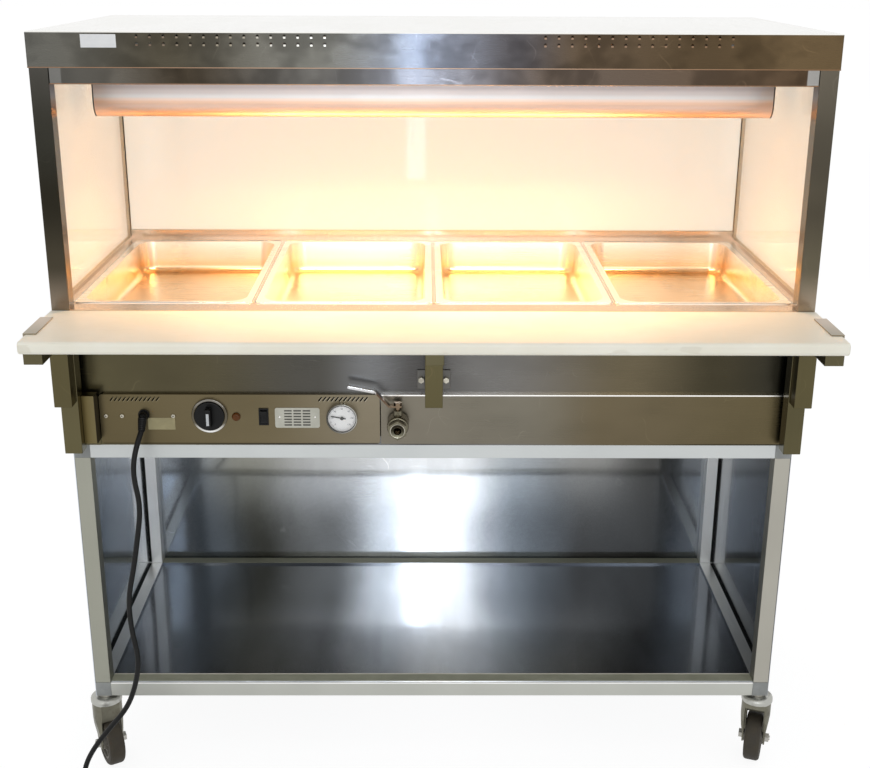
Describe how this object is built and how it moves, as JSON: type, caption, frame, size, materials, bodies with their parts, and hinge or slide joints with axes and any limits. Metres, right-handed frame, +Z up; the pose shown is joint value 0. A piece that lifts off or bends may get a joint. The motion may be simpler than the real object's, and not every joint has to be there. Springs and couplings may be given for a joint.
{
  "type": "hot food bar",
  "caption": "Heated buffet bar with gastronorm pans under a heat lamp and glass, a cutting board, controls and a drain, on a wheeled stand with a shelf.",
  "frame": {"origin": "on the floor under the middle of the object's box, its lead left out", "axes": "+Z up, +X to the right of a person at the controls, +Y from the controls to the guests' glass"},
  "size_m": [1.3925, 0.855, 1.455],
  "materials": {
    "stainless": "brushed",
    "polished": "polished",
    "aluminium": "satin",
    "zinc": "zinc plated",
    "connector": "moulded",
    "tyre": "solid",
    "glass": "clear",
    "quartz": "clear quartz",
    "board": "fine grain",
    "black": "moulded",
    "amber": "clear tinted",
    "bright": "bright",
    "dark_metal": "satin",
    "brass": "nickel plated",
    "lead": "matt",
    "tie": "moulded"
  },
  "bodies": {
    "bar": {"stand_legs": "aluminium", "stand_rails": "aluminium", "corner_connectors": "connector", "stand_shelf": "polished", "stand_back_panel": "polished", "stand_side_panels": "polished", "caster_stems": "zinc", "posts": "aluminium", "canopy_cover": "stainless", "canopy_frame": "aluminium", "glass_panes": "glass", "glass_sills": "aluminium", "lamp_housing": "aluminium", "lamp_end_caps": "aluminium", "quartz_tubes": "quartz", "well_tank": "stainless", "pan_bars": "stainless", "heating_element": "dark_metal", "body_shell": "stainless", "lower_front_panel": "stainless", "control_panel": "stainless", "wiring_cover": "stainless", "knob_bezel": "bright", "thermostat": "dark_metal", "indicator_lamp": "amber", "rocker_frame": "black", "thermometer_case": "bright", "thermometer_glass": "glass", "cable_gland": "black", "panel_screws": "zinc", "drain_pipe": "brass", "valve_body": "brass", "board_brackets": "aluminium", "board_clips": "stainless", "cord_stretch": "lead", "cord_coil": "lead", "cord_tie": "tie", "plug": "lead"},
    "caster_front_left": {"caster_fork_front_left": "zinc", "caster_axle_front_left": "zinc"},
    "wheel_front_left": {"caster_wheel_front_left": "tyre"},
    "caster_front_right": {"caster_fork_front_right": "zinc", "caster_axle_front_right": "zinc"},
    "wheel_front_right": {"caster_wheel_front_right": "tyre"},
    "caster_rear_left": {"caster_fork_rear_left": "zinc", "caster_axle_rear_left": "zinc"},
    "wheel_rear_left": {"caster_wheel_rear_left": "tyre"},
    "caster_rear_right": {"caster_fork_rear_right": "zinc", "caster_axle_rear_right": "zinc"},
    "wheel_rear_right": {"caster_wheel_rear_right": "tyre"},
    "pan_1": {"pan_1": "polished"},
    "pan_2": {"pan_2": "polished"},
    "pan_3": {"pan_3": "polished"},
    "pan_4": {"pan_4": "polished"},
    "knob": {"thermostat_knob": "black"},
    "rocker": {"rocker": "black"},
    "needle": {"thermometer_needle": "dark_metal"},
    "valve": {"valve_ball": "bright", "valve_lever": "zinc"},
    "board": {"cutting_board": "board"}
  },
  "joints": [
    {"name": "swivel_front_left", "type": "hinge", "parent": "bar", "child": "caster_front_left", "pos_m": [-0.6625, -0.1605, 0.145], "axis": [0, 0, 1], "continuous": true},
    {"name": "roll_front_left", "type": "hinge", "parent": "caster_front_left", "child": "wheel_front_left", "pos_m": [-0.6585, -0.16743, 0.05], "axis": [-0.866, -0.5, 0], "continuous": true},
    {"name": "swivel_front_right", "type": "hinge", "parent": "bar", "child": "caster_front_right", "pos_m": [0.6625, -0.1605, 0.145], "axis": [0, 0, 1], "continuous": true},
    {"name": "roll_front_right", "type": "hinge", "parent": "caster_front_right", "child": "wheel_front_right", "pos_m": [0.66524, -0.15298, 0.05], "axis": [0.9397, -0.342, 0], "continuous": true},
    {"name": "swivel_rear_left", "type": "hinge", "parent": "bar", "child": "caster_rear_left", "pos_m": [-0.6625, 0.3695, 0.145], "axis": [0, 0, 1], "continuous": true},
    {"name": "roll_rear_left", "type": "hinge", "parent": "caster_rear_left", "child": "wheel_rear_left", "pos_m": [-0.6625, 0.3775, 0.05], "axis": [1, 0, 0], "continuous": true},
    {"name": "swivel_rear_right", "type": "hinge", "parent": "bar", "child": "caster_rear_right", "pos_m": [0.6625, 0.3695, 0.145], "axis": [0, 0, 1], "continuous": true},
    {"name": "roll_rear_right", "type": "hinge", "parent": "caster_rear_right", "child": "wheel_rear_right", "pos_m": [0.6625, 0.3775, 0.05], "axis": [1, 0, 0], "continuous": true},
    {"name": "lift_pan_1", "type": "slide", "parent": "bar", "child": "pan_1", "axis": [0, 0, 1], "range_m": [0, 0.15]},
    {"name": "lift_pan_2", "type": "slide", "parent": "bar", "child": "pan_2", "axis": [0, 0, 1], "range_m": [0, 0.15]},
    {"name": "lift_pan_3", "type": "slide", "parent": "bar", "child": "pan_3", "axis": [0, 0, 1], "range_m": [0, 0.15]},
    {"name": "lift_pan_4", "type": "slide", "parent": "bar", "child": "pan_4", "axis": [0, 0, 1], "range_m": [0, 0.15]},
    {"name": "knob_turn", "type": "hinge", "parent": "bar", "child": "knob", "pos_m": [-0.416, -0.1855, 0.765], "axis": [0, 1, 0], "range_deg": [0, 270]},
    {"name": "rocker_tip", "type": "hinge", "parent": "bar", "child": "rocker", "pos_m": [-0.316, -0.1835, 0.762], "axis": [1, 0, 0], "range_deg": [-18, 0]},
    {"name": "needle_turn", "type": "hinge", "parent": "bar", "child": "needle", "pos_m": [-0.17, -0.1945, 0.762], "axis": [0, 1, 0], "range_deg": [-55, 215], "stiffness_Nm_per_rad": 0.001},
    {"name": "valve_turn", "type": "hinge", "parent": "bar", "child": "valve", "pos_m": [-0.066, -0.2045, 0.754], "axis": [0, 0, 1], "range_deg": [0, 90]},
    {"name": "board_slide", "type": "slide", "parent": "bar", "child": "board", "axis": [0, -1, 0], "range_m": [0, 0.16]}
  ]
}
